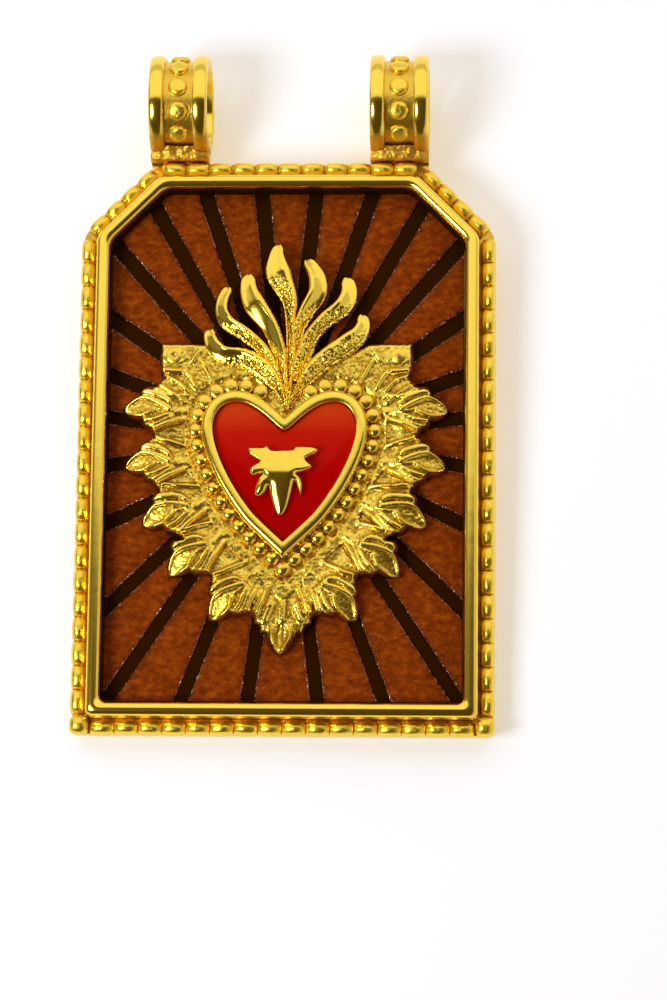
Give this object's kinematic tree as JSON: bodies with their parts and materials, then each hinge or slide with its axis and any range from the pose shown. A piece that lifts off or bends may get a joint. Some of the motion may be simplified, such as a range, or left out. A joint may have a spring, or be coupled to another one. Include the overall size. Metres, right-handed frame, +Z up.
{
  "type": "heart plaque pendant",
  "caption": "Gilt plaque pendant with a beaded tray frame, rayed brown enamel ground, leaf wreath, flame and red enamelled heart, hung by fixed ring bails.",
  "frame": {"origin": "on the common axis of the two ring bails, midway between them, where a cord or chain carries the pendant", "axes": "+Z up as the pendant hangs, -Y is the front that shows the heart, +Y the flat back, +X to the right seen from the front"},
  "size_m": [0.032, 0.008, 0.0532],
  "materials": {
    "polished_gold": "gold-plated brass, bright polished",
    "beaded_gold": "gold-plated brass, beaded and burnished",
    "cast_gold": "gold-plated cast brass, satin and finely grained",
    "stippled_gold": "gold-plated cast brass, stippled slopes with polished crests",
    "rivet_gold": "gold-plated rivet, slightly rosy",
    "brown_enamel": "mottled red-brown vitreous enamel, satin",
    "red_enamel": "glossy red enamel"
  },
  "bodies": {
    "root": {"back_plate": "polished_gold", "frame_wall": "polished_gold", "rim_moulding": "polished_gold", "ray_panel": "brown_enamel", "leaf_wreath": "cast_gold", "heart_bezel": "polished_gold", "heart_enamel": "red_enamel", "heart_bead_ring": "polished_gold", "palmette_boss": "polished_gold", "flame": "stippled_gold", "bead_row_bottom": "beaded_gold", "bead_row_right": "beaded_gold", "bead_row_chamfer_right": "beaded_gold", "bead_row_top": "beaded_gold", "bead_row_chamfer_left": "beaded_gold", "bead_row_left": "beaded_gold", "corner_bead_left": "beaded_gold", "corner_bead_right": "beaded_gold", "wreath_rivet_left": "rivet_gold", "wreath_rivet_right": "rivet_gold", "bail_left": "polished_gold", "bail_right": "polished_gold", "bail_bead_row_left": "beaded_gold", "bail_bead_row_right": "beaded_gold"}
  },
  "joints": []
}
